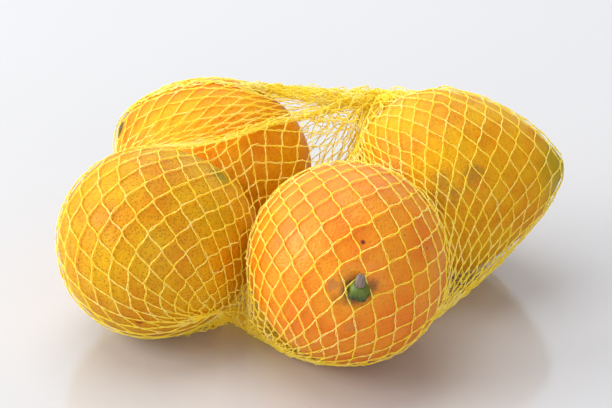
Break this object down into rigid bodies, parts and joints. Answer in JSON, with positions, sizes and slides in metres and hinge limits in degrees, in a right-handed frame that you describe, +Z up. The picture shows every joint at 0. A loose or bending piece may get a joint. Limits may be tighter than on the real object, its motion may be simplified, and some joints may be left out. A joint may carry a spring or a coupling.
{
  "type": "net of lemons",
  "caption": "Knitted mesh net drawn tight round whole lemons, gathered shut at both ends and lying on its side.",
  "frame": {"origin": "on the surface that the net lies on, in the middle of its bounding box", "axes": "+Z up, +X along the net's longer side towards the single pointed fruit, +Y away from the fruit that shows its stem"},
  "size_m": [0.166, 0.1451, 0.0644],
  "materials": {
    "net": "bright yellow knitted polyethylene net, slightly glossy yarn",
    "peel": "ripe lemon peel, warm yellow with fine pores and a waxy sheen",
    "stem": "green calyx with a dry grey-brown stub of stem"
  },
  "bodies": {
    "root": {"net_of_lemons": "net"}
  },
  "joints": []
}
